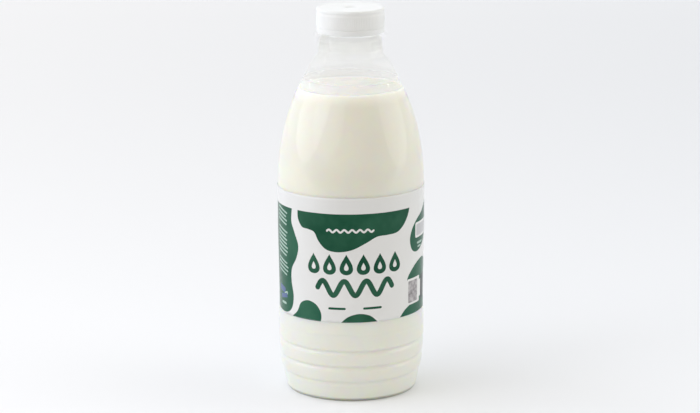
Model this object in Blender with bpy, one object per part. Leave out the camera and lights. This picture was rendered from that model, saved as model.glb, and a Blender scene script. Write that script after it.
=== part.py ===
"""Clear plastic milk bottle, filled and capped.

A blow-moulded bottle with a screw-neck, a support ring, a long sloping
shoulder, a label panel and stepped grip grooves above a hollow base.  It holds
milk up to the lower shoulder.  A printed film label is wrapped round it, and a
white screw cap sits on its tamper band.

Lengths below are in millimetres, the model is in metres, +Z is up, the origin
is the middle of the standing ring and the front of the label faces -Y.
"""

from math import cos, pi, sin

import bmesh
import bpy

MM = 0.001
SEGMENTS = 36  # sides of every turned piece
GAP = 0.3  # clearance between pieces that touch

# --- overall -----------------------------------------------------------------
TOTAL_H = 224.0
FILL_Z = 177.8

# --- screw cap and tamper band --------------------------------------------------
CAP_R = 19.55
CAP_EDGE_R = 1.5  # rounding of the cap's top rim
CAP_TOP_T = 1.5
CAP_SKIRT_T = 1.2
BAND_Z0 = 209.8
BAND_Z1 = 212.9
CAP_Z0 = BAND_Z1 + GAP

# --- neck ------------------------------------------------------------------------
LIP_Z = TOTAL_H - CAP_TOP_T - GAP
BORE_R = 15.9
FINISH_R = 17.6  # wall that carries the thread, hidden in the cap
RING_R = 21.5
RING_Z0 = 206.6
RING_Z1 = 208.8
RING_EDGE = 0.5
NECK_R = 19.4
NECK_Z0 = 198.2

# --- shoulder: height, radius and slope dr/dz where its curves meet ----------------
SHOULDER = (
    (NECK_Z0, NECK_R, 0.0),
    (192.5, 23.4, -0.50),
    (178.0, 30.2, -0.47),
    (152.0, 39.1, -0.23),
    (122.5, 42.25, 0.0),
)
SHOULDER_STEPS = (3, 2, 4, 4)

# --- label panel --------------------------------------------------------------------
PANEL_TOP_R = 42.32
PANEL_LOW_R = 41.72
PANEL_EASE = (55.0, 100.0)  # heights between which the panel narrows
PANEL_Z0 = 48.0
PANEL_STATIONS = (99.0, 88.0, 66.0, PANEL_Z0)
LABEL_Z0 = 48.3
LABEL_Z1 = 121.2
LABEL_T = 0.2
LABEL_TILT = 0.0069  # the film is wrapped a little crooked: rise per length along +X

# --- grip grooves and heel ---------------------------------------------------------
BODY_LOW = (  # height and radius of the stepped lower body, grooves apart
    (46.6, 42.28),
    (36.0, 42.28),
    (30.9, 42.20),
    (26.5, 41.93),
    (21.4, 41.55),
    (16.8, 41.20),
    (14.2, 40.65),
    (12.0, 40.05),
    (9.2, 39.25),
    (5.5, 38.60),
    (1.9, 37.65),
)
GROOVES = ((30.9, 0.80), (21.4, 0.75), (12.0, 0.65))  # height and depth
GROOVE_HALF_W = 2.3
HEEL_Z = 1.9
HEEL_R = 37.65
STAND_OUT_R = 35.35  # outer and inner edge of the flat standing ring
STAND_IN_R = 33.2
PUSH_UP = 8.5  # height of the dome under the base
DOME_STATIONS = (28.5, 20.0, 10.0)

# --- walls ---------------------------------------------------------------------------
WALL = 0.45
BASE_T = 0.7
NECK_WALL = ((206.0, 3.5), (199.5, 1.6), (191.0, 0.8), (180.0, 0.45))


def hermite(z0, r0, m0, z1, r1, m1, z):
    t = (z - z0) / (z1 - z0)
    d = z1 - z0
    return (
        (2 * t**3 - 3 * t**2 + 1) * r0
        + (t**3 - 2 * t**2 + t) * d * m0
        + (3 * t**2 - 2 * t**3) * r1
        + (t**3 - t**2) * d * m1
    )


def between(table, z):
    """Straight interpolation in a table of (height, value), highest first."""
    if z >= table[0][0]:
        return table[0][1]
    for (za, a), (zb, b) in zip(table, table[1:]):
        if z >= zb:
            return a + (b - a) * (za - z) / (za - zb)
    return table[-1][1]


def panel_r(z):
    t = min(max((z - PANEL_EASE[0]) / (PANEL_EASE[1] - PANEL_EASE[0]), 0.0), 1.0)
    return PANEL_LOW_R + (PANEL_TOP_R - PANEL_LOW_R) * (3 * t * t - 2 * t**3)


def lower_r(z):
    r = between(BODY_LOW, z)
    for centre, depth in GROOVES:
        u = abs(z - centre) / GROOVE_HALF_W
        if u < 1:
            r -= depth * (0.5 + 0.5 * cos(pi * u))
    return r


def shoulder_points():
    """Outer line from the neck's foot down to the top of the label panel."""
    points = []
    for (z0, r0, m0), (z1, r1, m1), steps in zip(SHOULDER, SHOULDER[1:], SHOULDER_STEPS):
        for i in range(steps):
            z = z0 + (z1 - z0) * i / steps
            points.append((hermite(z0, r0, m0, z1, r1, m1, z), z))
    points.append((SHOULDER[-1][1], SHOULDER[-1][0]))
    return points


def body_points():
    """Outer line from the panel's top down to the heel."""
    points = [(panel_r(z), z) for z in PANEL_STATIONS]
    heights = [46.6]
    for centre, _ in GROOVES:
        heights += [centre + GROOVE_HALF_W, centre, centre - GROOVE_HALF_W]
    heights.append(5.5)
    points += [(lower_r(z), z) for z in heights]
    return points


def heel_points(steps=3):
    """Quarter round from the side wall in to the flat standing ring."""
    a, b = HEEL_R - STAND_OUT_R, HEEL_Z
    return [
        (STAND_OUT_R + a * cos(pi / 2 * i / steps), b - b * sin(pi / 2 * i / steps))
        for i in range(steps + 1)
    ]


def dome_z(r, inner_r, height):
    return height * (1 - (r / inner_r) ** 2) ** 1.5 if r < inner_r else 0.0


def wall_at(z):
    return between(NECK_WALL, z)


def bottle_profile():
    outer = [
        (BORE_R + 0.3, LIP_Z),
        (FINISH_R - 0.4, LIP_Z),
        (FINISH_R, LIP_Z - 0.4),
        (FINISH_R, RING_Z1 + 0.3),
        (FINISH_R + 0.5, RING_Z1),
        (RING_R - RING_EDGE, RING_Z1),
        (RING_R, RING_Z1 - RING_EDGE),
        (RING_R, RING_Z0 + RING_EDGE),
        (RING_R - RING_EDGE, RING_Z0),
        (NECK_R + 0.5, RING_Z0),
        (NECK_R, RING_Z0 - 0.5),
    ]
    side = shoulder_points() + body_points()
    outer += side + heel_points()
    dome = [(STAND_IN_R, 0.0)]
    dome += [(r, dome_z(r, STAND_IN_R, PUSH_UP)) for r in DOME_STATIONS]
    dome.append((0.0, PUSH_UP))
    floor = [(0.0, PUSH_UP + BASE_T)]
    floor += [(r, dome_z(r, STAND_IN_R, PUSH_UP) + BASE_T) for r in reversed(DOME_STATIONS)]
    floor += [(33.6, BASE_T), (35.2, BASE_T), (HEEL_R - 0.9, HEEL_Z - 0.2)]
    inner = [(r - wall_at(z), z) for r, z in reversed(side)]
    inner += [(BORE_R, 206.0), (BORE_R, LIP_Z - 0.3)]
    return outer + dome + floor + inner


def milk_profile():
    """Solid milk: a gap inside the wall, flat on top at the fill level."""
    gap = WALL + GAP
    side = [p for p in shoulder_points() + body_points() if p[1] < FILL_Z - 1.5]
    (z0, r0, m0), (z1, r1, m1) = SHOULDER[2], SHOULDER[3]
    top_r = hermite(z0, r0, m0, z1, r1, m1, FILL_Z) - gap
    profile = [(0.0, FILL_Z), (top_r, FILL_Z)]
    profile += [(r - gap, z) for r, z in side]
    profile += [(HEEL_R - 1.4, HEEL_Z + 0.3), (34.8, BASE_T + GAP), (33.5, BASE_T + GAP)]
    lift = BASE_T + GAP
    profile += [(r, dome_z(r, STAND_IN_R, PUSH_UP) + lift) for r in DOME_STATIONS]
    profile.append((0.0, PUSH_UP + lift))
    return profile


def cap_profile():
    inner_r = CAP_R - CAP_SKIRT_T
    top = [(0.0, TOTAL_H)]
    top += [
        (
            CAP_R - CAP_EDGE_R + CAP_EDGE_R * sin(pi / 2 * i / 3),
            TOTAL_H - CAP_EDGE_R + CAP_EDGE_R * cos(pi / 2 * i / 3),
        )
        for i in range(4)
    ]
    return top + [
        (CAP_R, CAP_Z0),
        (inner_r, CAP_Z0),
        (inner_r, TOTAL_H - CAP_TOP_T - 0.8),
        (inner_r - 0.8, TOTAL_H - CAP_TOP_T),
        (0.0, TOTAL_H - CAP_TOP_T),
    ]


def band_profile():
    inner_r = CAP_R - CAP_SKIRT_T
    return [
        (CAP_R, BAND_Z1),
        (CAP_R, BAND_Z0 + 0.3),
        (CAP_R - 0.3, BAND_Z0),
        (inner_r, BAND_Z0),
        (inner_r, BAND_Z1),
    ]


def label_profile():
    heights = [LABEL_Z1, *PANEL_STATIONS[:-1], LABEL_Z0]
    outer = [(panel_r(z) + GAP + LABEL_T, z) for z in heights]
    inner = [(panel_r(z) + GAP, z) for z in reversed(heights)]
    return outer + inner


def material(name, rgb, roughness, transmission=0.0, ior=1.5):
    mat = bpy.data.materials.new(name)
    mat.use_nodes = True
    bsdf = mat.node_tree.nodes["Principled BSDF"]
    bsdf.inputs["Base Color"].default_value = (*rgb, 1.0)
    bsdf.inputs["Metallic"].default_value = 0.0
    bsdf.inputs["Roughness"].default_value = roughness
    bsdf.inputs["Transmission Weight"].default_value = transmission
    bsdf.inputs["IOR"].default_value = ior
    return mat


def turned(name, profile, mat):
    """Spin a profile of (radius, height) about +Z into one closed body."""
    bm = bmesh.new()
    closed = profile[0][0] > 0
    verts = [bm.verts.new((r * MM, 0.0, z * MM)) for r, z in profile]
    edges = [bm.edges.new(pair) for pair in zip(verts, verts[1:])]
    if closed:
        edges.append(bm.edges.new((verts[-1], verts[0])))
    bmesh.ops.spin(
        bm,
        geom=verts + edges,
        cent=(0, 0, 0),
        axis=(0, 0, 1),
        angle=2 * pi,
        steps=SEGMENTS,
        use_merge=True,
    )
    bmesh.ops.remove_doubles(bm, verts=bm.verts, dist=1e-6)
    bmesh.ops.recalc_face_normals(bm, faces=bm.faces)
    mesh = bpy.data.meshes.new(name)
    bm.to_mesh(mesh)
    bm.free()
    mesh.shade_smooth()
    mesh.set_sharp_from_angle(angle=0.6)
    obj = bpy.data.objects.new(name, mesh)
    obj.data.materials.append(mat)
    bpy.context.collection.objects.link(obj)
    return obj


def main():
    for obj in list(bpy.data.objects):
        bpy.data.objects.remove(obj, do_unlink=True)

    clear = material("clear_pet", (0.93, 0.95, 0.95), 0.06, transmission=1.0, ior=1.57)
    white_cap = material("white_cap", (0.88, 0.88, 0.87), 0.38)
    cream = material("milk_white", (0.88, 0.86, 0.80), 0.25)
    film = material("label_film", (0.86, 0.86, 0.86), 0.30)

    turned("bottle", bottle_profile(), clear)
    turned("milk", milk_profile(), cream)
    turned("cap", cap_profile(), white_cap)
    turned("tamper_band", band_profile(), white_cap)
    label = turned("label", label_profile(), film)
    for v in label.data.vertices:
        v.co.z += LABEL_TILT * v.co.x


main()
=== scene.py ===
from math import asin, atan, cos, exp, floor, hypot, pi, radians, sin, sqrt

import bmesh
import bpy
import numpy as np
from mathutils import Euler, Matrix, Vector, noise
from mathutils.geometry import delaunay_2d_cdt


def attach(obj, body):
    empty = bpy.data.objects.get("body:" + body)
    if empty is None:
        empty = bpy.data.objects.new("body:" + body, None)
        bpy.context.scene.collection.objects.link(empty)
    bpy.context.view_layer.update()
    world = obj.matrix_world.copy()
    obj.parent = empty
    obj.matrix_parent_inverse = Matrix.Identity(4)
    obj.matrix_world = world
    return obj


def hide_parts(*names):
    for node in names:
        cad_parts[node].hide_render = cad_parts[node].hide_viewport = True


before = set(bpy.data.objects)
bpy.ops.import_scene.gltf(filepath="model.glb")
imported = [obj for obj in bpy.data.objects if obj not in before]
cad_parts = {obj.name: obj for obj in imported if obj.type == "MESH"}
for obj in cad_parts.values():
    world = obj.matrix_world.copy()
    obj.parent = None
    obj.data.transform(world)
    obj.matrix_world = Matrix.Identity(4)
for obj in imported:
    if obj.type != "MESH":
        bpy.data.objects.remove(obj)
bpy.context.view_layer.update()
MM = 0.001

# ---------------------------------------------------------------------------
# Sizes, in millimetres, as in the solids
# ---------------------------------------------------------------------------
TOTAL_H = 224.0
FILL_Z = 177.8
CAP_R = 19.55
CAP_EDGE_R = 1.5
CAP_TOP_T = 1.5
CAP_SKIRT_T = 1.2
BAND_Z0 = 209.8
BAND_Z1 = 212.9
GAP = 0.3
CAP_Z0 = BAND_Z1 + GAP
LIP_Z = TOTAL_H - CAP_TOP_T - GAP
BORE_R = 15.9
FINISH_R = 17.6
RING_R = 21.5
RING_Z0 = 206.6
RING_Z1 = 208.8
NECK_R = 19.4
NECK_Z0 = 198.2
SHOULDER = (
    (NECK_Z0, NECK_R, 0.0),
    (192.5, 23.4, -0.50),
    (178.0, 30.2, -0.47),
    (152.0, 39.1, -0.23),
    (122.5, 42.25, 0.0),
)
PANEL_TOP_R = 42.32
PANEL_LOW_R = 41.72
PANEL_EASE = (55.0, 100.0)
PANEL_Z0 = 48.0
LABEL_Z0 = 48.3
LABEL_Z1 = 121.2
LABEL_TILT = 0.0069
BODY_LOW = (
    (46.6, 42.28),
    (36.0, 42.28),
    (30.9, 42.20),
    (26.5, 41.93),
    (21.4, 41.55),
    (16.8, 41.20),
    (14.2, 40.65),
    (12.0, 40.05),
    (9.2, 39.25),
    (5.5, 38.60),
    (1.9, 37.65),
)
GROOVES = ((30.9, 0.80), (21.4, 0.75), (12.0, 0.65))
GROOVE_HALF_W = 2.3
FAINT_GROOVE = (40.5, 0.10)
HEEL_Z = 1.9
HEEL_R = 37.65
STAND_OUT_R = 35.35
STAND_IN_R = 33.2
PUSH_UP = 8.5
BASE_T = 0.7
NECK_WALL = ((206.0, 1.5), (199.5, 1.1), (191.0, 0.7), (180.0, 0.45))
WALL = 0.45


def hermite(z0, r0, m0, z1, r1, m1, z):
    t = (z - z0) / (z1 - z0)
    d = z1 - z0
    return (
        (2 * t**3 - 3 * t**2 + 1) * r0
        + (t**3 - 2 * t**2 + t) * d * m0
        + (3 * t**2 - 2 * t**3) * r1
        + (t**3 - t**2) * d * m1
    )


def between(table, z):
    if z >= table[0][0]:
        return table[0][1]
    for (za, a), (zb, b) in zip(table, table[1:]):
        if z >= zb:
            return a + (b - a) * (za - z) / (za - zb)
    return table[-1][1]


def step(t):
    t = min(max(t, 0.0), 1.0)
    return t * t * (3 - 2 * t)


def panel_r(z):
    return PANEL_LOW_R + (PANEL_TOP_R - PANEL_LOW_R) * step(
        (z - PANEL_EASE[0]) / (PANEL_EASE[1] - PANEL_EASE[0])
    )


def eased(table, z, width=1.2):
    """The straight table rounded off at its corners, by averaging over a short height."""
    return sum(between(table, z + width * k) for k in (-1, -0.5, 0, 0.5, 1)) / 5


def shoulder_r(z):
    for (z0, r0, m0), (z1, r1, m1) in zip(SHOULDER, SHOULDER[1:]):
        if z >= z1:
            return hermite(z0, r0, m0, z1, r1, m1, min(z, z0))
    return SHOULDER[-1][1]


def outer_r(z):
    """Outer radius of the bottle's wall below the support ring."""
    if z >= SHOULDER[-1][0]:
        r = shoulder_r(z)
        # fine steps on the neck: the mould's parting line and the end of the straight neck
        r -= 0.16 * exp(-(((z - 203.0) / 0.22) ** 2))
        r -= 0.28 * exp(-(((z - 200.2) / 0.38) ** 2))
        return r
    if z > PANEL_Z0:
        return panel_r(z) + (SHOULDER[-1][1] - PANEL_TOP_R) * step((z - 116.0) / 6.0)
    if z > 46.6:
        return PANEL_LOW_R + (42.28 - PANEL_LOW_R) * step((PANEL_Z0 - z) / 1.4)
    r = eased(BODY_LOW, z)
    for centre, depth in GROOVES:
        # each groove is steep on its upper side and opens out below
        u = (z - centre) / (GROOVE_HALF_W * (0.62 if z > centre else 1.25))
        if abs(u) < 1:
            r -= depth * (0.5 + 0.5 * cos(pi * u)) ** 1.15
    r -= FAINT_GROOVE[1] * exp(-(((z - FAINT_GROOVE[0]) / 0.8) ** 2))
    return r


def wall_at(z):
    return between(NECK_WALL, z)


def dome_z(r):
    return PUSH_UP * (1 - (r / STAND_IN_R) ** 2) ** 1.5 if r < STAND_IN_R else 0.0


def heights(top, bottom, coarse):
    """Heights from top to bottom, closer together where the outline turns quickly."""
    found = [top]
    while found[-1] > bottom:
        z = found[-1]
        if z > NECK_Z0 - 7:
            d = 0.16 if abs(z - 203.0) < 0.8 or abs(z - 200.2) < 1.0 else 0.45
        elif z > SHOULDER[-1][0]:
            d = 1.3
        elif z > PANEL_Z0 + 0.5:
            d = 6.0
        elif z > 46.0:
            d = 0.3
        elif z > 43.0 or 34.5 < z < 38.0:
            d = 1.2
        else:
            d = 0.36
        found.append(max(z - d * coarse, bottom))
    return found


# ---------------------------------------------------------------------------
# Making meshes and nodes
# ---------------------------------------------------------------------------
def link(name, mesh, mats):
    obj = bpy.data.objects.new(name, mesh)
    for m in mats:
        obj.data.materials.append(m)
    bpy.context.scene.collection.objects.link(obj)
    return obj


def lathe(name, profile, mats, segments, smooth_angle=0.7, radial=None, closed=True):
    """A profile of (radius, height), spun about +Z into one closed body.
    radial(r, z, phi) may move a point of the profile outwards."""
    verts, faces, rings = [], [], []
    for r, z in profile:
        if r < 1e-9:
            rings.append([len(verts)])
            verts.append((0.0, 0.0, z * MM))
            continue
        ring = []
        for i in range(segments):
            phi = 2 * pi * i / segments
            q = r + (radial(r, z, phi) if radial else 0.0)
            ring.append(len(verts))
            verts.append((q * sin(phi) * MM, -q * cos(phi) * MM, z * MM))
        rings.append(ring)
    pairs = list(zip(rings, rings[1:]))
    if closed and len(rings[0]) > 1:
        pairs.append((rings[-1], rings[0]))
    for a, b in pairs:
        if len(a) == 1 and len(b) == 1:
            continue
        for i in range(segments):
            j = (i + 1) % segments
            if len(a) == 1:
                faces.append((a[0], b[i], b[j]))
            elif len(b) == 1:
                faces.append((a[i], b[0], a[j]))
            else:
                faces.append((a[i], b[i], b[j], a[j]))
    mesh = bpy.data.meshes.new(name)
    mesh.from_pydata(verts, [], faces)
    bm = bmesh.new()
    bm.from_mesh(mesh)
    bmesh.ops.recalc_face_normals(bm, faces=bm.faces)
    bm.to_mesh(mesh)
    bm.free()
    mesh.shade_smooth()
    mesh.set_sharp_from_angle(angle=smooth_angle)
    return link(name, mesh, mats)


class Nodes:
    """A material's node tree, with short ways to add to it."""

    def __init__(self, name):
        self.mat = bpy.data.materials.new(name)
        self.mat.use_nodes = True
        self.tree = self.mat.node_tree
        self.bsdf = self.tree.nodes["Principled BSDF"]
        self.out = self.tree.nodes["Material Output"]

    def add(self, kind, **values):
        node = self.tree.nodes.new(kind)
        for key, value in values.items():
            setattr(node, key, value)
        return node

    def join(self, a, b):
        self.tree.links.new(a, b)

    def set(self, **values):
        for key, value in values.items():
            self.bsdf.inputs[key.replace("_", " ")].default_value = value

    def coords(self, scale=(1, 1, 1)):
        tex = self.add("ShaderNodeTexCoord")
        mapping = self.add("ShaderNodeMapping")
        mapping.inputs["Scale"].default_value = scale
        self.join(tex.outputs["Object"], mapping.inputs["Vector"])
        return mapping.outputs["Vector"]

    def noise(self, vector, scale, detail=3.0, rough=0.5):
        node = self.add("ShaderNodeTexNoise")
        node.inputs["Scale"].default_value = scale
        node.inputs["Detail"].default_value = detail
        node.inputs["Roughness"].default_value = rough
        self.join(vector, node.inputs["Vector"])
        return node.outputs["Fac"]

    def ranged(self, value, lo, hi, from_lo=0.3, from_hi=0.7):
        node = self.add("ShaderNodeMapRange")
        node.inputs["From Min"].default_value = from_lo
        node.inputs["From Max"].default_value = from_hi
        node.inputs["To Min"].default_value = lo
        node.inputs["To Max"].default_value = hi
        self.join(value, node.inputs["Value"])
        return node.outputs["Result"]

    def blend(self, factor, a, b):
        node = self.add("ShaderNodeMix", data_type="RGBA")
        node.inputs[6].default_value = (*a, 1)
        node.inputs[7].default_value = (*b, 1)
        self.join(factor, node.inputs[0])
        return node.outputs[2]

    def bump(self, value, strength, distance, below=None):
        node = self.add("ShaderNodeBump")
        node.inputs["Strength"].default_value = strength
        node.inputs["Distance"].default_value = distance
        self.join(value, node.inputs["Height"])
        if below:
            self.join(below, node.inputs["Normal"])
        return node.outputs["Normal"]


# ---------------------------------------------------------------------------
# Materials
# ---------------------------------------------------------------------------
def clear_plastic():
    """Thin clear blown plastic: smooth on the body, with the faint waviness of a blown wall, and cloudier at the neck,
    where its wall is thicker. Round the standing ring, where the wall is also thicker, its colour turns dark grey:
    painted shade for the contact shadow there. Light passes straight through to what it holds."""
    n = Nodes("clear_blown_plastic")
    n.set(Transmission_Weight=1.0, IOR=1.5)
    place = n.add("ShaderNodeTexCoord")
    axes = n.add("ShaderNodeSeparateXYZ")
    n.join(place.outputs["Object"], axes.inputs[0])
    # painted shade: the plastic's colour darkens to grey below about 2.7 mm, for the contact shadow under the standing
    # ring, where the wall is also thicker
    thick_base_and_painted_shade = n.ranged(axes.outputs["Z"], 0.0, 1.0, 0.0010, 0.0027)
    n.join(n.blend(thick_base_and_painted_shade, (0.27, 0.27, 0.24), (0.985, 0.992, 0.99)), n.bsdf.inputs["Base Color"])
    cloudy = n.ranged(axes.outputs["Z"], 0.12, 0.18, 0.188, 0.201)
    fine = n.noise(n.coords(), 900, 2.0)
    rough = n.add("ShaderNodeMath", operation="ADD")
    n.join(cloudy, rough.inputs[0])
    n.join(n.ranged(fine, -0.02, 0.03), rough.inputs[1])
    n.join(rough.outputs[0], n.bsdf.inputs["Roughness"])
    wavy = n.noise(n.coords((1, 1, 0.35)), 55, 1.5)
    n.join(n.bump(wavy, 0.25, 0.0004), n.bsdf.inputs["Normal"])
    plain = n.add("ShaderNodeBsdfTransparent")
    shown = n.add("ShaderNodeMixShader")
    share = n.add("ShaderNodeMath", operation="SUBTRACT")
    n.join(n.ranged(axes.outputs["Z"], 0.0, 0.985, 0.170, 0.1765), share.inputs[0])
    n.join(n.ranged(axes.outputs["Z"], 0.0, 0.12, 0.1955, 0.1995), share.inputs[1])
    total = n.add("ShaderNodeMath", operation="ADD")
    n.join(share.outputs[0], total.inputs[0])
    n.join(n.ranged(axes.outputs["Z"], 0.0, 0.09, 0.2045, 0.2060), total.inputs[1])
    n.join(total.outputs[0], shown.inputs[0])
    n.join(n.bsdf.outputs[0], shown.inputs[1])
    n.join(plain.outputs[0], shown.inputs[2])
    path = n.add("ShaderNodeLightPath")
    for ray in ("Is Diffuse Ray", "Is Shadow Ray"):
        clear = n.add("ShaderNodeBsdfTransparent")
        clear.inputs["Color"].default_value = (0.985, 0.99, 0.99, 1)
        mix = n.add("ShaderNodeMixShader")
        n.join(path.outputs[ray], mix.inputs[0])
        n.join(shown.outputs[0], mix.inputs[1])
        n.join(clear.outputs[0], mix.inputs[2])
        shown = mix
    n.join(shown.outputs[0], n.out.inputs["Surface"])
    return n.mat


def milk_liquid():
    """Milk: red light travels furthest in it and blue the least, so that its shaded side is warmer than its lit side.
    Its colour is a little yellower above 125 mm than below 45 mm, and its uppermost 6 mm are made paler: painted light
    for the light that comes in through its surface."""
    n = Nodes("milk_liquid")
    cloud = n.ranged(n.noise(n.coords(), 40, 2.0), 0.0, 1.0)
    place = n.add("ShaderNodeTexCoord")
    axes = n.add("ShaderNodeSeparateXYZ")
    n.join(place.outputs["Object"], axes.inputs[0])
    # the colour shifts a little between 45 and 125 mm, yellower above and bluer below
    tone = n.add("ShaderNodeMix", data_type="RGBA")
    n.join(n.ranged(axes.outputs["Z"], 0.0, 1.0, 0.045, 0.125), tone.inputs[0])
    n.join(n.blend(cloud, (0.752, 0.760, 0.702), (0.766, 0.775, 0.724)), tone.inputs[6])
    n.join(n.blend(cloud, (0.775, 0.770, 0.686), (0.789, 0.785, 0.706)), tone.inputs[7])
    # painted light: the uppermost 6 mm are made paler, for the light that comes in through the milk's surface
    pale = n.add("ShaderNodeMix", data_type="RGBA")
    n.join(n.ranged(axes.outputs["Z"], 0.0, 1.0, 0.1715, 0.1774), pale.inputs[0])
    n.join(tone.outputs[2], pale.inputs[6])
    pale.inputs[7].default_value = (0.885, 0.885, 0.840, 1)
    n.join(pale.outputs[2], n.bsdf.inputs["Base Color"])
    rough = n.add("ShaderNodeMath", operation="ADD")
    n.join(n.ranged(n.noise(n.coords(), 300, 2.0), 0.0, 0.08), rough.inputs[0])
    n.join(n.ranged(axes.outputs["Z"], 0.12, 0.42, 0.1765, 0.1774), rough.inputs[1])
    n.join(rough.outputs[0], n.bsdf.inputs["Roughness"])
    n.set(IOR=1.35, Subsurface_Weight=1.0, Subsurface_Scale=0.006)
    n.bsdf.inputs["Subsurface Radius"].default_value = (1.0, 0.66, 0.28)
    return n.mat


def milk_residue():
    """The thin uneven coat that milk leaves on the inside of the wall above its level."""
    n = Nodes("milk_residue")
    n.set(IOR=1.35)
    n.join(n.ranged(n.noise(n.coords(), 500, 2.0), 0.35, 0.5), n.bsdf.inputs["Roughness"])
    runs = n.noise(n.coords((1, 1, 0.22)), 70, 3.0, 0.55)
    place = n.add("ShaderNodeTexCoord")
    axes = n.add("ShaderNodeSeparateXYZ")
    n.join(place.outputs["Object"], axes.inputs[0])
    film = n.ranged(axes.outputs["Z"], 0.0, 1.0, 0.184, 0.198)
    n.join(n.blend(film, (0.90, 0.90, 0.87), (0.80, 0.81, 0.67)), n.bsdf.inputs["Base Color"])
    alpha = n.ranged(runs, 0.05, 0.10)
    for low, high, z_low, z_high in ((0.0, 0.075, 0.190, 0.201), (0.46, 0.0, 0.1778, 0.1872)):
        more = n.add("ShaderNodeMath", operation="ADD")
        n.join(alpha, more.inputs[0])
        n.join(n.ranged(axes.outputs["Z"], low, high, z_low, z_high), more.inputs[1])
        alpha = more.outputs[0]
    n.join(alpha, n.bsdf.inputs["Alpha"])
    return n.mat


def cap_plastic():
    n = Nodes("white_cap_plastic")
    tone = n.noise(n.coords(), 120, 3.0)
    n.join(
        n.blend(n.ranged(tone, 0.0, 1.0), (0.806, 0.828, 0.828), (0.826, 0.848, 0.848)),
        n.bsdf.inputs["Base Color"],
    )
    grain = n.noise(n.coords(), 2600, 3.0)
    n.join(n.ranged(grain, 0.34, 0.46), n.bsdf.inputs["Roughness"])
    n.join(n.bump(grain, 0.12, 0.00004), n.bsdf.inputs["Normal"])
    n.set(IOR=1.49, Subsurface_Weight=0.15, Subsurface_Scale=0.001)
    n.bsdf.inputs["Subsurface Radius"].default_value = (1.0, 0.95, 0.9)
    return n.mat


def film(name, low, high, gloss=0.14, passes=0.35, grain=60):
    """Printed film: the ink's tone varies a little, soft creases catch the light, and a share
    of the light that falls on it goes on to the milk behind."""
    n = Nodes(name)
    tone = n.noise(n.coords(), grain, 3.0, 0.5)
    n.join(n.blend(n.ranged(tone, 0.0, 1.0), low, high), n.bsdf.inputs["Base Color"])
    n.join(n.ranged(n.noise(n.coords(), 110, 2.0), 0.19, 0.24), n.bsdf.inputs["Roughness"])
    crease = n.noise(n.coords((1, 1, 0.6)), 24, 1.0, 0.4)
    n.join(n.bump(crease, 0.12, 0.0004), n.bsdf.inputs["Normal"])
    n.set(IOR=1.5, Specular_IOR_Level=gloss)
    path = n.add("ShaderNodeLightPath")
    shown = n.bsdf
    for ray in ("Is Diffuse Ray", "Is Shadow Ray"):
        through = n.add("ShaderNodeBsdfTransparent")
        through.inputs["Color"].default_value = (passes, passes, passes, 1)
        mix = n.add("ShaderNodeMixShader")
        n.join(path.outputs[ray], mix.inputs[0])
        n.join(shown.outputs[0], mix.inputs[1])
        n.join(through.outputs[0], mix.inputs[2])
        shown = mix
    n.join(shown.outputs[0], n.out.inputs["Surface"])
    return n.mat


def floor_material():
    """Pale seamless paper with painted light and shade: its colour changes a little from left to right and from front
    to back, and its front part is darkened.
    """
    n = Nodes("studio_floor")
    place = n.add("ShaderNodeTexCoord")
    axes = n.add("ShaderNodeSeparateXYZ")
    n.join(place.outputs["Object"], axes.inputs[0])
    # painted light: the paper's colour shifts from FLOOR_LEFT on the left to the darker, bluer FLOOR_RIGHT on the
    # right
    side = n.blend(n.ranged(axes.outputs["X"], 0.0, 1.0, -0.36, 0.36), FLOOR_LEFT, FLOOR_RIGHT)
    away = n.add("ShaderNodeMath", operation="SUBTRACT")
    n.join(axes.outputs["Y"], away.inputs[0])
    away.inputs[1].default_value = 0.58
    square = n.add("ShaderNodeMath", operation="MULTIPLY")
    n.join(away.outputs[0], square.inputs[0])
    n.join(away.outputs[0], square.inputs[1])
    # painted light: the colour is scaled from 0.972 far behind the bottle up to 1.072 in front of it
    lift = n.ranged(square.outputs[0], 0.972, 1.072, 0.0, 0.75)
    grain = n.ranged(n.noise(n.coords(), 1.2, 2.0), -0.002, 0.002)
    total = n.add("ShaderNodeMath", operation="ADD")
    n.join(lift, total.inputs[0])
    n.join(grain, total.inputs[1])
    # painted shade: the paper's front part, nearer than the picture reaches, is darkened to 0.22 of its colour
    shade = n.add("ShaderNodeMath", operation="MULTIPLY")
    n.join(total.outputs[0], shade.inputs[0])
    n.join(n.ranged(axes.outputs["Y"], 0.22, 1.0, -0.52, -0.36), shade.inputs[1])
    scaled = n.add("ShaderNodeVectorMath", operation="SCALE")
    n.join(side, scaled.inputs[0])
    n.join(shade.outputs[0], scaled.inputs["Scale"])
    n.join(scaled.outputs[0], n.bsdf.inputs["Base Color"])
    n.set(Roughness=0.9, Specular_IOR_Level=0.1)
    return n.mat


# the floor's colours at its left and right; the difference between them is painted light
FLOOR_LEFT, FLOOR_RIGHT = (0.862, 0.873, 0.881), (0.831, 0.856, 0.880)
CLEAR = clear_plastic()
MILK = milk_liquid()
RESIDUE = milk_residue()
CAP = cap_plastic()
FILM_WHITE = film("film_white", (0.700, 0.712, 0.706), (0.716, 0.728, 0.722), 0.45, 0.78)
INK_GREEN = film("ink_green", (0.0030, 0.058, 0.029), (0.0240, 0.108, 0.062))
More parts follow.
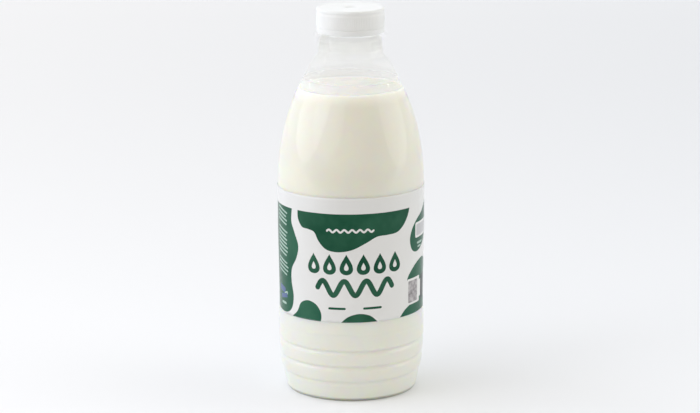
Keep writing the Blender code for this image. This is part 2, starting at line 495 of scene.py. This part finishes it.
# painted light: a lighter copy of the green ink, for the patches away from the front centre, where side light and
# gloss brighten it
INK_GREEN_PAINTED_LIGHT = film("ink_green_painted_light", (0.012, 0.090, 0.052), (0.030, 0.124, 0.074))
INK_DARK = film("ink_dark", (0.003, 0.016, 0.012), (0.005, 0.022, 0.016), 0.1)
INK_BLUE = film("ink_blue", (0.075, 0.120, 0.250), (0.100, 0.155, 0.310))
INK_PALE = film("ink_pale", (0.32, 0.47, 0.40), (0.38, 0.53, 0.46))
INK_GREY = film("ink_grey", (0.20, 0.19, 0.20), (0.50, 0.49, 0.50), 0.3, 0.6, 420)
INK_MIST = film("ink_mist", (0.47, 0.48, 0.50), (0.53, 0.54, 0.56), 0.3, 0.7)

# ---------------------------------------------------------------------------
# The clear bottle
# ---------------------------------------------------------------------------
def arc(cx, cz, rx, rz, a0, a1, steps):
    return [
        (cx + rx * cos(a0 + (a1 - a0) * i / steps), cz + rz * sin(a0 + (a1 - a0) * i / steps))
        for i in range(steps + 1)
    ]


def bottle_profile():
    outer = [(BORE_R + 0.3, LIP_Z)]
    outer += arc(FINISH_R - 0.4, LIP_Z - 0.4, 0.4, 0.4, pi / 2, 0, 4)
    outer += [(FINISH_R, RING_Z1 + 1.2)]
    outer += arc(FINISH_R + 0.8, RING_Z1 + 0.8, 0.8, 0.8, pi, 1.5 * pi, 5)
    outer += arc(RING_R - 0.6, RING_Z1 - 0.6, 0.6, 0.6, pi / 2, 0, 6)
    outer += arc(RING_R - 0.6, RING_Z0 + 0.6, 0.6, 0.6, 0, -pi / 2, 6)
    outer += arc(NECK_R + 0.8, RING_Z0 - 0.8, 0.8, 0.8, pi / 2, pi, 5)
    side = [(outer_r(z), z) for z in heights(205.4, HEEL_Z + 0.3, 1.0)]
    outer += side
    outer += arc(STAND_OUT_R, HEEL_Z, HEEL_R - STAND_OUT_R, HEEL_Z, 0, -pi / 2, 8)
    dome = [(STAND_IN_R, 0.0)]
    dome += [(STAND_IN_R * (1 - i / 22), dome_z(STAND_IN_R * (1 - i / 22))) for i in range(1, 23)]
    floor_in = [(r, z + BASE_T) for r, z in reversed(dome[1:])]
    floor_in += [(33.6, BASE_T), (35.2, BASE_T), (36.3, BASE_T + 0.45), (HEEL_R - 0.6, HEEL_Z)]
    inner = [
        (outer_r(z) - wall_at(z), z) for z in reversed(heights(205.4, HEEL_Z + 0.5, 1.35))
    ]
    inner += [(17.4, 206.4), (16.2, 207.6), (BORE_R, 208.4), (BORE_R, LIP_Z - 0.3)]
    return outer + dome + floor_in + inner


bottle = lathe("bottle_clear", bottle_profile(), [CLEAR], 192)

# ---------------------------------------------------------------------------
# The milk, which reaches just into the wall, so that no air gap shows
# ---------------------------------------------------------------------------
INTO_WALL = 0.12


def milk_profile():
    edge = shoulder_r(FILL_Z) - WALL + INTO_WALL
    top = [(0.0, FILL_Z - 0.3), (edge * 0.5, FILL_Z - 0.3), (edge - 3.0, FILL_Z - 0.29)]
    top += [(edge - 1.4, FILL_Z - 0.22), (edge - 0.5, FILL_Z - 0.12), (edge - 0.06, FILL_Z - 0.10)]
    top += [(edge + 0.02, FILL_Z - 0.25)]
    side = [
        (outer_r(z) - wall_at(z) + INTO_WALL, z)
        for z in heights(FILL_Z - 0.6, HEEL_Z + 0.5, 1.2)
    ]
    lift = BASE_T - INTO_WALL
    under = [(HEEL_R - 0.55, HEEL_Z), (36.2, lift + 0.45), (35.0, lift), (33.6, lift)]
    under += [
        (STAND_IN_R * (1 - i / 16), dome_z(STAND_IN_R * (1 - i / 16)) + lift)
        for i in range(1, 17)
    ]
    return top + side + under


milk = lathe("milk_body", milk_profile(), [MILK], 180)


def residue_profile():
    """A thin coat on the inside of the wall, from the milk's level up into the neck."""
    top, low = 205.6, FILL_Z + 0.35
    n = 26
    zs = [low + (top - low) * i / n for i in range(n + 1)]
    coat = [(outer_r(z) - wall_at(z) - 0.03, z) for z in zs]
    return coat + [(17.3, 206.4), (16.1, 207.6), (BORE_R - 0.03, 208.4)]


residue = lathe("milk_residue", residue_profile(), [RESIDUE], 144, closed=False)

# ---------------------------------------------------------------------------
# Screw cap and tamper band
# ---------------------------------------------------------------------------
KNURLS = 120
KNURL_DEPTH = 0.13


def knurl(z_lo, z_hi):
    """Fine upright ribs round the cap's skirt, fading out towards both ends."""

    def radial(r, z, phi):
        if r < CAP_R - 0.02 or z < z_lo or z > z_hi:
            return 0.0
        fade = step((z - z_lo) / 0.8) * step((z_hi - z) / 0.8)
        return -KNURL_DEPTH * fade * (0.5 + 0.5 * cos(KNURLS * phi)) ** 2

    return radial


def cap_profile():
    inner_r = CAP_R - CAP_SKIRT_T
    # a small dimple where the plastic was let in, and a rim that stands a little proud
    top = [(0.0, TOTAL_H - 1.0), (1.8, TOTAL_H - 0.98), (2.9, TOTAL_H - 0.82), (3.5, TOTAL_H - 0.4)]
    top += [(3.9, TOTAL_H - 0.25), (9.0, TOTAL_H - 0.25), (15.2, TOTAL_H - 0.25)]
    top += [(16.3, TOTAL_H - 0.2), (17.1, TOTAL_H - 0.05), (17.7, TOTAL_H)]
    top += arc(CAP_R - 1.2, TOTAL_H - 1.2, 1.2, 1.2, pi / 2, 0, 10)
    top += [(CAP_R, TOTAL_H - 1.45), (CAP_R - 0.1, TOTAL_H - 1.75), (CAP_R - 0.24, TOTAL_H - 2.0)]
    top += [(CAP_R - 0.26, TOTAL_H - 2.4), (CAP_R - 0.16, TOTAL_H - 2.9), (CAP_R - 0.05, TOTAL_H - 3.3)]
    zs = [TOTAL_H - d for d in (3.6, 4.0, 4.4, 5.2, 6.4, 7.6, 8.6, 9.2)]
    top += [(CAP_R, z) for z in zs if z > CAP_Z0 + 0.9]
    top += [(CAP_R, CAP_Z0 + d) for d in (0.8, 0.4, 0.2)]
    return top + [
        (CAP_R - 0.15, CAP_Z0),
        (inner_r, CAP_Z0),
        (inner_r, TOTAL_H - CAP_TOP_T - 0.8),
        (inner_r - 0.8, TOTAL_H - CAP_TOP_T),
        (0.0, TOTAL_H - CAP_TOP_T),
    ]


def band_profile():
    inner_r = CAP_R - CAP_SKIRT_T
    return [
        (CAP_R - 0.28, CAP_Z0 - 0.03),
        (CAP_R - 0.28, BAND_Z1),
        (CAP_R - 0.10, BAND_Z1 - 0.02),
        (CAP_R, BAND_Z1 - 0.12),
        (CAP_R, BAND_Z0 + 0.35),
        (CAP_R - 0.1, BAND_Z0 + 0.1),
        (CAP_R - 0.35, BAND_Z0),
        (inner_r, BAND_Z0),
        (inner_r, CAP_Z0 - 0.03),
    ]


cap = lathe(
    "cap_screw", cap_profile(), [CAP], KNURLS * 6, radial=knurl(CAP_Z0 + 0.3, TOTAL_H - 3.4)
)
band = lathe("cap_tamper_band", band_profile(), [CAP], 180)


def bridges():
    """The small webs that join the tamper band to the cap until it is first opened."""
    bm = bmesh.new()
    for i in range(16):
        phi = 2 * pi * (i + 0.5) / 16
        made = bmesh.ops.create_cube(bm, size=1.0)
        shape = (
            Matrix.Rotation(phi, 4, "Z")
            @ Matrix.Translation((0, -(CAP_R - 0.55) * MM, (BAND_Z1 + GAP / 2) * MM))
            @ Matrix.Diagonal((0.9 * MM, 0.7 * MM, (GAP + 0.2) * MM, 1))
        )
        bmesh.ops.transform(bm, matrix=shape, verts=made["verts"])
    bmesh.ops.bevel(
        bm, geom=list(bm.edges), offset=0.05 * MM, segments=1, affect="EDGES", clamp_overlap=True
    )
    mesh = bpy.data.meshes.new("cap_bridges")
    bm.to_mesh(mesh)
    bm.free()
    return link("cap_bridges", mesh, [CAP])


webs = bridges()

# ---------------------------------------------------------------------------
# The printed film label
# ---------------------------------------------------------------------------
LABEL_R = 42.6  # radius at which lengths along the film are measured
HALF = pi * LABEL_R
OVERLAP = 4.5  # how far each end runs past the seam at the back
PRINT_TOP = 112.0
PRINT_LOW = 48.4
GRID = 1.5


def smooth_loop(points, per=10):
    """A closed smooth curve through the points (centripetal enough for patches)."""
    out = []
    n = len(points)
    for i in range(n):
        p0, p1, p2, p3 = (points[(i + k - 1) % n] for k in range(4))
        for s in range(per):
            t = s / per
            out.append(
                tuple(
                    0.5
                    * (
                        2 * b
                        + (c - a) * t
                        + (2 * a - 5 * b + 4 * c - d) * t * t
                        + (3 * b - a - 3 * c + d) * t**3
                    )
                    for a, b, c, d in zip(p0, p1, p2, p3)
                )
            )
    return out


def smooth_run(points, per=10):
    """An open smooth curve through the points."""
    ext = [points[0], *points, points[-1]]
    out = []
    for i in range(len(points) - 1):
        p0, p1, p2, p3 = ext[i : i + 4]
        for s in range(per):
            t = s / per
            out.append(
                tuple(
                    0.5
                    * (
                        2 * b
                        + (c - a) * t
                        + (2 * a - 5 * b + 4 * c - d) * t * t
                        + (3 * b - a - 3 * c + d) * t**3
                    )
                    for a, b, c, d in zip(p0, p1, p2, p3)
                )
            )
    return [*out, points[-1]]


def rounded_bar(u, z, w, h, r=None, turn=0.0):
    """A bar with round corners, centred on (u, z)."""
    r = min(w, h) / 2 if r is None else min(r, w / 2, h / 2)
    pts = []
    for cx, cz, a0 in (
        (w / 2 - r, h / 2 - r, 0.0),
        (-w / 2 + r, h / 2 - r, pi / 2),
        (-w / 2 + r, -h / 2 + r, pi),
        (w / 2 - r, -h / 2 + r, 1.5 * pi),
    ):
        for i in range(6):
            a = a0 + pi / 2 * i / 5
            pts.append((cx + r * cos(a), cz + r * sin(a)))
    c, s = cos(turn), sin(turn)
    return tidy([(u + x * c - y * s, z + x * s + y * c) for x, y in pts])


def tidy(points, least=0.04):
    """Leaves out points that lie on the one before them."""
    out = []
    for p in points:
        if not out or hypot(p[0] - out[-1][0], p[1] - out[-1][1]) > least:
            out.append(p)
    if hypot(out[0][0] - out[-1][0], out[0][1] - out[-1][1]) <= least:
        out.pop()
    return out


def short_steps(outline, most=1.0):
    """The same closed outline with no side longer than most, so that it wraps smoothly."""
    out = []
    for (x0, y0), (x1, y1) in zip(outline, outline[1:] + outline[:1]):
        n = max(1, int(hypot(x1 - x0, y1 - y0) / most + 0.999))
        out += [(x0 + (x1 - x0) * i / n, y0 + (y1 - y0) * i / n) for i in range(n)]
    return out


def drop(u, z, w, h, steps=40):
    """A plain drop: round below, pointed above."""
    pts = []
    for i in range(steps):
        a = 2 * pi * i / steps
        x = sin(a) * (sin(a / 2) ** 1.5)
        pts.append((u + x * w / 2 / 0.81, z + cos(a) * h / 2))
    return tidy(pts)


def band_along(centre, width):
    """A closed outline of even width round an open line, with round ends."""
    left, right = [], []
    for i, (x, y) in enumerate(centre):
        a = centre[max(i - 1, 0)]
        b = centre[min(i + 1, len(centre) - 1)]
        d = hypot(b[0] - a[0], b[1] - a[1]) or 1.0
        nx, ny = -(b[1] - a[1]) / d, (b[0] - a[0]) / d
        left.append((x + nx * width / 2, y + ny * width / 2))
        right.append((x - nx * width / 2, y - ny * width / 2))
    def end_cap(p, q, frm):
        cx, cy = (p[0] + q[0]) / 2, (p[1] + q[1]) / 2
        vx, vy = p[0] - cx, p[1] - cy
        return [
            (cx + vx * cos(a) + vy * sin(a), cy - vx * sin(a) + vy * cos(a))
            for a in [pi * k / 6 for k in range(1, 6)]
        ]
    return tidy(left + end_cap(left[-1], right[-1], 1) + right[::-1] + end_cap(right[0], left[0], -1))


def wave_line(u0, u1, z, height, waves, points=90):
    return [
        (
            u0 + (u1 - u0) * i / points,
            z + height / 2 * sin(2 * pi * waves * i / points),
        )
        for i in range(points + 1)
    ]


def hung(points, line, per=10):
    """A patch that hangs from, or stands on, a straight printed line."""
    run = smooth_run([(points[0][0], line), *points[1:-1], (points[-1][0], line)], per)
    return tidy(run)


def label_art():
    """Closed outlines on the film, each with the material it is printed in.
    u is the length along the film from its front, rightwards, and z the height."""
    art = []

    def put(kind, outline):
        art.append((kind, short_steps(outline)))

    top, low = PRINT_TOP, PRINT_LOW
    # patches on the front
    put("green", hung([(-34.2, top), (-33.8, 107.2), (-30.8, 102.8), (-26.0, 102.0), (-22.0, 100.6), (-19.2, 95.6), (-14.6, 91.2), (-7.5, 89.9), (0.5, 91.2), (8.6, 95.0), (15.2, 98.3), (22.0, 98.7), (28.4, 99.4), (33.2, 102.6), (36.8, 107.4), (38.6, top)], top))
    # painted light: these patches use the lighter copy of the green ink, standing in for the side light and gloss that
    # brighten it away from the front centre
    put("green_painted_light", hung([(-40.0, low), (-35.4, 52.2), (-32.4, 57.6), (-27.0, 59.9), (-21.5, 58.2), (-18.4, 54.0), (-17.9, 50.4), (-18.4, low)], low))
    put("green", hung([(-6.0, low), (-1.8, 51.8), (4.5, 53.5), (11.0, 52.2), (15.6, low)], low))
    put("green_painted_light", hung([(31.0, low), (35.6, 52.4), (42.0, 55.0), (49.5, 56.4), (56.5, 57.0), (63.0, 54.6), (68.5, 51.4), (70.0, low)], low))
    # left and right of the front
    # these side patches are also in the lighter, painted-light copy of the green ink
    put("green_painted_light", tidy(smooth_run([(-72.0, top), (-70.0, 101.0), (-71.5, 88.0), (-69.0, 73.0), (-71.5, 59.0), (-68.5, 51.6), (-57.0, 49.2), (-46.0, 49.4), (-40.4, 53.2), (-38.8, 60.5), (-40.6, 69.0), (-40.0, 76.5), (-35.6, 83.5), (-33.8, 91.0), (-37.0, 98.4), (-39.8, 104.5), (-39.2, top)])))
    put("green_painted_light", tidy(smooth_run([(62.0, top), (54.0, 107.2), (46.0, 103.4), (41.0, 98.4), (39.2, 92.4), (41.6, 86.4), (47.0, 84.6), (54.0, 86.6), (61.0, 90.8), (66.5, 97.4), (70.0, 104.0), (72.5, top)])))
    put("green_painted_light", smooth_loop([(37.2, 69.4), (42.0, 75.2), (49.0, 78.8), (56.5, 79.6), (62.5, 77.2), (64.4, 73.0), (60.4, 69.2), (52.0, 66.8), (43.0, 65.6)]))
    # the back
    put("green", hung([(84.0, top), (85.0, 103.0), (91.0, 98.4), (99.0, 97.6), (105.0, 93.0), (112.0, 91.8), (119.0, 96.4), (122.5, 103.0), (123.5, top)], top))
    put("green", hung([(80.0, low), (84.0, 55.6), (91.0, 58.6), (98.0, 56.6), (102.0, low)], low))
    put("green", hung([(108.0, low), (111.0, 57.0), (117.5, 61.6), (124.0, 60.2), (127.6, 54.0), (128.2, low)], low))
    put("green", smooth_loop([(-124.0, 92.0), (-117.0, 98.6), (-108.0, 100.2), (-101.0, 105.4), (-92.0, 105.0), (-87.6, 97.6), (-91.0, 89.4), (-100.0, 85.6), (-110.0, 86.2), (-119.0, 84.6)]))
    put("green", hung([(-122.0, low), (-117.0, 56.6), (-108.0, 60.2), (-98.0, 57.4), (-91.0, 58.6), (-85.6, 55.0), (-83.4, low)], low))
    # ornaments where the wording is left off
    for k in range(6):
        u = -22.6 + 9.9 * k
        put("green", drop(u, 82.6, 9.0, 12.2))
        put("white", drop(u, 81.4, 3.0, 4.6))
    put("green", band_along(wave_line(-20.2, 25.0, 68.6, 8.4, 3.5), 3.1))
    put("green", rounded_bar(-8.4, 56.6, 10.4, 1.35))
    put("green", rounded_bar(12.6, 56.6, 11.4, 1.35))
    put("white", band_along(wave_line(-14.0, 13.0, 102.2, 1.5, 6.0, 120), 1.15))
    # plain panels and bars on the sides
    for k in range(17):
        if k not in (4, 12):
            long = (13.0, 11.6, 12.6, 12.2, 13.4)[k % 5]
            put("pale", rounded_bar(-57.2 + long / 2, 109.4 - 2.3 * k, long, 1.0, 0.3, -0.2))
    put("blue", rounded_bar(-52.6, 62.2, 8.6, 3.6, 0.9, -0.15))
    put("pale", rounded_bar(-47.4, 60.2, 4.6, 2.0, 0.8, 0.4))
    put("blue", rounded_bar(-50.2, 58.4, 9.0, 2.6, 0.6, 0.2))
    put("pale", rounded_bar(-50.4, 54.2, 6.4, 1.4, 0.5))
    put("white", rounded_bar(53.4, 97.2, 17.0, 9.0, 1.2))
    put("mist", rounded_bar(53.4, 97.2, 14.6, 6.6, 0.8))
    put("pale", rounded_bar(51.0, 89.4, 7.4, 1.3, 0.5))
    put("pale", rounded_bar(50.6, 87.2, 5.0, 1.1, 0.5))
    put("white", rounded_bar(44.4, 61.9, 14.0, 15.4, 0.9))
    put("grey", rounded_bar(43.4, 61.8, 10.2, 12.9, 0.5))
    put("dark", rounded_bar(58.0, 62.0, 8.6, 14.4, 0.6))
    for k in range(5):
        put("green", rounded_bar(-104.0, 78.6 - 3.1 * k, 30.0 - 5.5 * (k % 2), 1.2))
    for k in range(7):
        put("green", rounded_bar(101.0 - 1.6 * (k % 3), 86.6 - 3.1 * k, 36.0 - 6.0 * (k % 3), 1.1))
    return art


def inside(points, outline):
    """Which points lie inside a closed outline."""
    px, py = points[:, 0], points[:, 1]
    hit = np.zeros(len(points), bool)
    xs, ys = np.array(outline).T
    for x0, y0, x1, y1 in zip(xs, ys, np.roll(xs, -1), np.roll(ys, -1)):
        if y0 == y1:
            continue
        crosses = (y0 > py) != (y1 > py)
        hit ^= crosses & (px < (x1 - x0) * (py - y0) / (y1 - y0) + x0)
    return hit


FOLDS = (  # (along, height, half length, half width, turn, depth): soft dents in the loose film
    (-15.5, 115.2, 9.0, 2.2, 0.35, 0.16),
    (6.5, 113.6, 8.0, 2.0, -0.12, 0.20),
    (15.0, 116.4, 10.0, 2.4, 0.10, 0.22),
    (27.0, 114.0, 7.0, 2.0, -0.30, 0.14),
    (-38.0, 116.0, 9.0, 2.6, 0.20, 0.14),
    (48.0, 115.5, 9.0, 2.4, 0.25, 0.16),
    (-70.0, 115.0, 12.0, 2.4, -0.15, 0.16),
    (82.0, 114.6, 10.0, 2.2, 0.20, 0.16),
    (112.0, 115.8, 9.0, 2.4, -0.25, 0.16),
    (-104.0, 115.0, 10.0, 2.2, 0.12, 0.16),
)


def film_r(u, z):
    """Radius of the film's face, with its slight creases and the loose upper edge."""
    r = panel_r(z) + 0.12
    loose = step((z - 104.0) / 14.0)
    a = u / LABEL_R
    crease = noise.noise(Vector((a * 5.0 + 0.02 * z, z * 0.05, 7.7)))
    ripple = noise.noise(Vector((a * 9.0, z * 0.06, 3.1)))
    r += 0.05 * crease + loose * (0.02 + 0.06 * ripple)
    for cu, cz, long, wide, turn, depth in FOLDS:
        if abs(u - cu) < 2.5 * long and abs(z - cz) < 12:
            x = (u - cu) * cos(turn) + (z - cz) * sin(turn)
            y = (z - cz) * cos(turn) - (u - cu) * sin(turn)
            r -= depth * exp(-((x / long) ** 2) - (y / wide) ** 2)
            r += 0.6 * depth * exp(-((x / long) ** 2) - ((y - 2.2 * wide) / wide) ** 2)
    r += 0.12 * step((u - (HALF - 16.0)) / 12.0)
    return max(min(r, panel_r(z) + 0.49), panel_r(z) + 0.05)


def make_label():
    u0, u1 = -HALF - OVERLAP, HALF + OVERLAP
    art = label_art()
    points, edges = [], []

    def add_loop(outline):
        first = len(points)
        points.extend(Vector(p) for p in outline)
        edges.extend((first + i, first + (i + 1) % len(outline)) for i in range(len(outline)))

    nu, nz = int((u1 - u0) / GRID), int((LABEL_Z1 - LABEL_Z0) / GRID)
    rim = [(u0 + (u1 - u0) * i / nu, LABEL_Z0) for i in range(nu)]
    rim += [(u1, LABEL_Z0 + (LABEL_Z1 - LABEL_Z0) * i / nz) for i in range(nz)]
    rim += [(u1 - (u1 - u0) * i / nu, LABEL_Z1) for i in range(nu)]
    rim += [(u0, LABEL_Z1 - (LABEL_Z1 - LABEL_Z0) * i / nz) for i in range(nz)]
    add_loop(rim)
    for _, outline in art:
        add_loop(outline)
    taken = np.array([tuple(p) for p in points])
    cell = {}
    for x, y in taken:
        cell.setdefault((floor(x / GRID), floor(y / GRID)), []).append((x, y))
    for i in range(1, nu):
        for j in range(1, nz):
            x = u0 + (u1 - u0) * i / nu + (GRID / 2 if j % 2 else 0.0)
            y = LABEL_Z0 + (LABEL_Z1 - LABEL_Z0) * j / nz
            if x > u1 - 0.4 * GRID:
                continue
            cx, cy = floor(x / GRID), floor(y / GRID)
            near = any(
                (x - a) ** 2 + (y - b) ** 2 < (0.42 * GRID) ** 2
                for dx in (-1, 0, 1)
                for dy in (-1, 0, 1)
                for a, b in cell.get((cx + dx, cy + dy), ())
            )
            if not near:
                points.append(Vector((x, y)))
    flat, _, faces, *_ = delaunay_2d_cdt(points, edges, [], 1, 1e-5)
    flat = np.array([tuple(p) for p in flat])
    faces = [f for f in faces if len(f) == 3]
    middles = flat[np.array(faces)].mean(1)
    kinds = ["white", "green", "pale", "grey", "dark", "blue", "green_painted_light", "mist"]
    shade = np.zeros(len(faces), int)
    for kind, outline in art:
        shade[inside(middles, outline)] = kinds.index(kind)
    verts = []
    for u, z in flat:
        r, phi = film_r(u, z), u / LABEL_R
        x = r * sin(phi)
        verts.append((x * MM, -r * cos(phi) * MM, (z + LABEL_TILT * x) * MM))
    mesh = bpy.data.meshes.new("label_film")
    mesh.from_pydata(verts, [], faces)
    mesh.polygons.foreach_set("material_index", shade.astype(np.int32))
    mesh.shade_smooth()
    bm = bmesh.new()
    bm.from_mesh(mesh)
    bm.normal_update()
    middle = sum((f.normal.dot(Vector((f.calc_center_median().x, f.calc_center_median().y, 0))) for f in list(bm.faces)[:50]))
    if middle < 0:
        bmesh.ops.reverse_faces(bm, faces=bm.faces)
    bm.to_mesh(mesh)
    bm.free()
    obj = link("label_film", mesh, [FILM_WHITE, INK_GREEN, INK_PALE, INK_GREY, INK_DARK, INK_BLUE, INK_GREEN_PAINTED_LIGHT, INK_MIST])
    solid = obj.modifiers.new("thickness", "SOLIDIFY")
    solid.thickness = 0.05 * MM
    solid.offset = -1
    solid.material_offset = 0
    return obj


label = make_label()

# ---------------------------------------------------------------------------
# What each piece stands for
# ---------------------------------------------------------------------------
for piece, node, slot in (
    (bottle, "bottle", "clear_plastic"),
    (milk, "milk", "milk"),
    (residue, "milk", "milk"),
    (cap, "cap", "cap_plastic"),
    (band, "tamper_band", "cap_plastic"),
    (webs, "tamper_band", "cap_plastic"),
    (label, "label", "label_film"),
):
    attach(piece, "root")
    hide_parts(node)

# ---------------------------------------------------------------------------
# Floor, light and camera
# ---------------------------------------------------------------------------
bm = bmesh.new()
bmesh.ops.create_circle(bm, cap_ends=True, cap_tris=False, segments=96, radius=6.0)
mesh = bpy.data.meshes.new("studio_floor")
bm.to_mesh(mesh)
bm.free()
ground = link("studio_floor", mesh, [floor_material()])
ground.location.z = -0.00005

# Soft light from all round, in lobes of (direction, sharpness, colour and strength). The side
# that the camera looks from is the dimmest, and the left is the brightest and coolest.
WORLD_BASE = (0.327, 0.294, 0.266)
WORLD_LOBES = (
    ((-1.0, 0.0, 0.25), 2.0, (0.163, 0.194, 0.289)),
    ((-1.0, 0.9, 0.3), 3.0, (0.516, 0.540, 0.604)),
    ((1.0, 0.0, 0.25), 2.0, (0.343, 0.332, 0.299)),
    ((1.0, 0.9, 0.3), 3.0, (0.487, 0.537, 0.558)),
    ((0.0, 1.0, 0.2), 3.0, (0.526, 0.558, 0.574)),
    ((0.0, 0.0, 1.0), 3.0, (0.213, 0.236, 0.255)),
    ((0.0, -1.0, 0.3), 4.0, (0.500, 0.428, 0.320)),
)
LAMPS = (  # place, aim, size, colour and power
    ((-1.6, -0.2, 1.1), (0, 0, 0.1), 2.4, (17.02, 17.17, 17.84)),
    ((-1.4, -1.4, 1.3), (0, 0, 0.1), 2.4, (9.41, 9.29, 9.37)),
    ((-1.4, 1.1, 1.3), (0, 0, 0.1), 1.6, (2.24, 2.31, 2.58)),
    ((1.7, -0.1, 0.8), (0, 0, 0.1), 1.8, (8.06, 7.99, 8.06)),
)


def make_world():
    world = bpy.data.worlds.new("soft_studio")
    bpy.context.scene.world = world
    world.use_nodes = True
    tree = world.node_tree
    tree.nodes.clear()
    out = tree.nodes.new("ShaderNodeOutputWorld")
    place = tree.nodes.new("ShaderNodeTexCoord")

    def background(colour, strength):
        node = tree.nodes.new("ShaderNodeBackground")
        node.inputs["Color"].default_value = (*colour, 1)
        node.inputs["Strength"].default_value = strength
        return node

    total = background([c / max(WORLD_BASE) for c in WORLD_BASE], max(WORLD_BASE)).outputs[0]
    for direction, power, colour in WORLD_LOBES:
        dot = tree.nodes.new("ShaderNodeVectorMath")
        dot.operation = "DOT_PRODUCT"
        dot.inputs[1].default_value = Vector(direction).normalized()
        tree.links.new(place.outputs["Generated"], dot.inputs[0])
        value = dot.outputs["Value"]
        for operation, number in (("MAXIMUM", 0.0), ("POWER", power), ("MULTIPLY", max(colour))):
            m = tree.nodes.new("ShaderNodeMath")
            m.operation = operation
            m.inputs[1].default_value = number
            tree.links.new(value, m.inputs[0])
            value = m.outputs[0]
        lobe = background([c / max(colour) for c in colour], 1.0)
        tree.links.new(value, lobe.inputs["Strength"])
        add = tree.nodes.new("ShaderNodeAddShader")
        tree.links.new(total, add.inputs[0])
        tree.links.new(lobe.outputs[0], add.inputs[1])
        total = add.outputs[0]
    tree.links.new(total, out.inputs["Surface"])


make_world()
for i, (place, aim, size, colour) in enumerate(LAMPS):
    data = bpy.data.lights.new(f"soft_box_{i}", "AREA")
    data.shape = "DISK"
    data.size = size
    data.energy = max(colour)
    data.color = [c / max(colour) for c in colour]
    lamp = bpy.data.objects.new(f"soft_box_{i}", data)
    lamp.location = place
    lamp.rotation_euler = (Vector(aim) - Vector(place)).to_track_quat("-Z", "Y").to_euler()
    bpy.context.scene.collection.objects.link(lamp)

CAM_D, CAM_H = 1.6, 0.476981
CAM_PITCH, CAM_ROLL = 13.0242, -0.166
FOCAL_PX, WIDTH_PX = 2830.0, 700
cam_data = bpy.data.cameras.new("camera")
cam_data.sensor_fit = "HORIZONTAL"
cam_data.sensor_width = 36.0
cam_data.lens = FOCAL_PX * 36.0 / WIDTH_PX
cam_data.clip_start, cam_data.clip_end = 0.05, 50.0
camera = bpy.data.objects.new("camera", cam_data)
camera.location = (-0.00056, -CAM_D, CAM_H)
camera.rotation_euler = (
    Matrix.Rotation(radians(90 - CAM_PITCH), 3, "X") @ Matrix.Rotation(radians(CAM_ROLL), 3, "Z")
).to_euler()
bpy.context.scene.collection.objects.link(camera)
bpy.context.scene.camera = camera

view = bpy.context.scene.view_settings
view.view_transform = "Standard"
view.look = "None"
view.exposure = 0.0
view.gamma = 1.0
